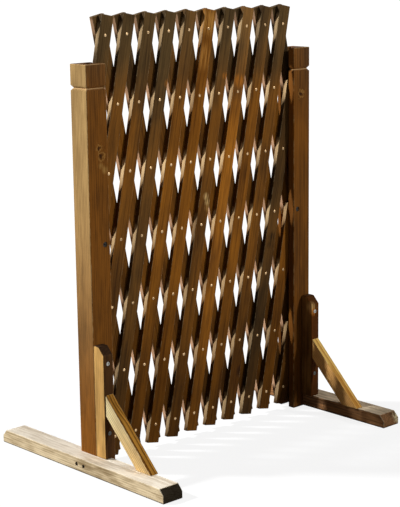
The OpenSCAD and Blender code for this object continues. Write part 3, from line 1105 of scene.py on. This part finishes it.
# %% Battens
BATTEN_RUN = 14 * MM
BATTEN_DROP = 15 * MM
BATTEN_EASE = 1.8 * MM
COUNTERSINK = 4.8 * MM
COUNTERSINK_DEPTH = 3.4 * MM
SCREW_HEAD = 3.75 * MM
SCREW_SHANK = 2.0 * MM
BATTEN_STAIN = {"left": (1.0, 0.6), "right": (1.0, 0.8)}
BATTEN_LOG = {"left": 6.43, "right": 9.55}


def batten_screw_heights(side):
    """Heights of a batten's two screws, read from the frame."""
    screws_low, screws_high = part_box(f"batten_screws_{side}")
    return screws_low.z + SCREW_HEAD, screws_high.z - SCREW_HEAD


for side in SIDES:
    low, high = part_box(f"batten_{side}")
    middle = (low + high) / 2
    batten = blank(f"batten_{side}_wood", low, high)
    saw(batten, (0, low.y, high.z - BATTEN_DROP), (0, -BATTEN_DROP, BATTEN_RUN))
    ease(batten, BATTEN_EASE, 3)
    widening = (COUNTERSINK - SCREW_SHANK) / COUNTERSINK_DEPTH
    sinks = []
    for z in batten_screw_heights(side):
        outside, bottom = (middle.x, low.y - PAST, z), (middle.x, low.y + COUNTERSINK_DEPTH, z)
        sinks.append(rod(COUNTERSINK + PAST * widening, outside, bottom, tip_radius=SCREW_SHANK))
    cut(batten, *sinks)
    polish(batten)
    mark_grain(batten, BATTEN_LOG[side], *BATTEN_STAIN[side], (middle.x, middle.y, 0), UP, BACKWARD)
    stands_for(batten, f"batten_{side}", BODIES[side], batten_wood[side])
    print(batten.name, len(batten.data.polygons), "faces")

# %% [markdown]
# ## Braces
# A brace is a strip set at 45 degrees between the batten and the foot, mitred at both ends. It is laid
# out longer than it has to be, turned to its angle, and sawn off along the batten's front and along the
# foot's top, as a joiner would.

# %% Braces
BRACE_THICK = 28 * MM
BRACE_EASE = 1.2 * MM
BRACE_STAIN = {"left": (1.0, 1.0), "right": (1.15, 1.0)}
BRACE_LOG = {"left": 1.27, "right": 4.69}
THROUGH_BRACE = (0.0, math.sin(BRACE_ANGLE), -math.cos(BRACE_ANGLE))

for side in SIDES:
    low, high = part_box(f"brace_{side}")
    middle = (low + high) / 2
    half_width = (high.x - low.x) / 2
    longer = (high - low).length
    toe = (middle.x, low.y, low.z)
    brace = blank(f"brace_{side}_wood", (-half_width, 0, -longer), (half_width, BRACE_THICK, longer))
    brace.rotation_euler = (BRACE_ANGLE - math.pi / 2, 0, 0)
    brace.location = toe
    settle(brace)
    saw(brace, low, (0, 0, -1))
    saw(brace, high, BACKWARD)
    ease(brace, BRACE_EASE)
    polish(brace)
    mark_grain(brace, BRACE_LOG[side], *BRACE_STAIN[side], toe, ALONG_BRACE, THROUGH_BRACE)
    stands_for(brace, f"brace_{side}", BODIES[side], brace_wood[side])
    print(brace.name, [round(c, 3) for c in brace.dimensions])

# %% [markdown]
# ## Screws, bolts and nuts
# The batten's screws show their heads, so each is turned from a rod, drawn out into a head and cut with a
# cross. The nuts on the posts' backs are hexagons with eased corners. The screws in the feet and braces
# lie deep in their holes and the bolts lie in the posts, so the frame's own solids do there, with a metal
# finish.

# %% Batten screws
SCREW_DEEP = 0.4 * MM
CONE_HEIGHT = 2.2 * MM
RIM_HEIGHT = 0.35 * MM
CROWN_HEIGHT = 0.3 * MM
CROWN_SHARE = 0.72
POINT_SHARE = 0.2
BLADE_WIDTH = 0.9 * MM
BLADE_LENGTH = 4.2 * MM
BLADE_DEPTH = 1.5 * MM
POINT_LENGTH = 2 * SCREW_SHANK
SCREW_SIDES = 20
FIRST_TURN = 20
TURN_BY_HEIGHT = 400


def wood_screw(length):
    """A cross-head screw whose crown is at the origin, with its point up the Y axis."""
    neck = RIM_HEIGHT + CROWN_HEIGHT + CONE_HEIGHT
    piece = rod(SCREW_SHANK, (0, neck, 0), (0, length, 0), SCREW_SIDES)
    with editing(piece, "FACE"):
        select_faces(piece, lambda middle: abs(middle.y - length) < NEAR)
        bpy.ops.mesh.extrude_region_move(TRANSFORM_OT_translate={"value": (0, 0, 0)})
        bpy.ops.transform.translate(value=(0, -POINT_LENGTH, 0))
        bpy.ops.mesh.extrude_region_move(TRANSFORM_OT_translate={"value": (0, POINT_LENGTH, 0)})
        bpy.ops.transform.resize(value=(POINT_SHARE, 1, POINT_SHARE), center_override=(0, length, 0))
        bpy.ops.mesh.select_all(action="DESELECT")
        select_faces(piece, lambda middle: abs(middle.y - neck) < NEAR)
        widening = SCREW_HEAD / SCREW_SHANK
        for rise, share in ((CONE_HEIGHT, widening), (RIM_HEIGHT, 1.0), (CROWN_HEIGHT, CROWN_SHARE)):
            bpy.ops.mesh.extrude_region_move(TRANSFORM_OT_translate={"value": (0, -rise, 0)})
            bpy.ops.transform.resize(value=(share, 1, share), center_override=(0, 0, 0))
        bpy.ops.mesh.select_all(action="SELECT")
        bpy.ops.mesh.remove_doubles(threshold=NEAR / 10)
        bpy.ops.mesh.normals_make_consistent(inside=False)
    half = BLADE_LENGTH / 2
    for width, tall in ((half, BLADE_WIDTH / 2), (BLADE_WIDTH / 2, half)):
        cut(piece, blank("blade", (-width, -PAST, -tall), (width, BLADE_DEPTH, tall)))
    polish(piece)
    return piece


for side in SIDES:
    low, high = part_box(f"batten_screws_{side}")
    pair = []
    for z in batten_screw_heights(side):
        screw = wood_screw(high.y - low.y - SCREW_DEEP)
        screw.location = ((low.x + high.x) / 2, low.y + SCREW_DEEP, z)
        screw.rotation_euler = (0, math.radians(FIRST_TURN + TURN_BY_HEIGHT * z), 0)
        settle(screw)
        pair.append(screw)
    screws = joined(pair)
    screws.name = screws.data.name = f"batten_screws_{side}_zinc"
    stands_for(screws, f"batten_screws_{side}", BODIES[side], zinc)
    print(screws.name, len(screws.data.polygons), "faces")

# %% Nuts, bolts and the hidden screws
NUT_EASE = 0.5 * MM
NUT_SIDES = 6

for side in SIDES:
    low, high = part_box(f"pivot_nut_{side}")
    middle = (low + high) / 2
    radius = max(high.x - low.x, high.z - low.z) / 2
    nut = rod(radius, (middle.x, low.y, middle.z), (middle.x, high.y, middle.z), NUT_SIDES)
    nut.name = nut.data.name = f"pivot_nut_{side}_steel"
    with editing(nut):
        bpy.ops.mesh.bevel(offset=NUT_EASE, segments=2, profile=0.5, affect="EDGES")
    cut(nut, rod(BOLT_RADIUS, (middle.x, low.y - PAST, middle.z), (middle.x, high.y + PAST, middle.z)))
    polish(nut)
    stands_for(nut, f"pivot_nut_{side}", BODIES[side], zinc)

for side in SIDES:
    for node, finish in (("pivot_bolt", dark_steel), ("foot_screws", dark_steel), ("brace_screws", zinc)):
        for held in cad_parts[f"{node}_{side}"].material_slots:
            held.material = finish
print("nuts and", 3 * len(SIDES), "nodes of the frame finished in metal")
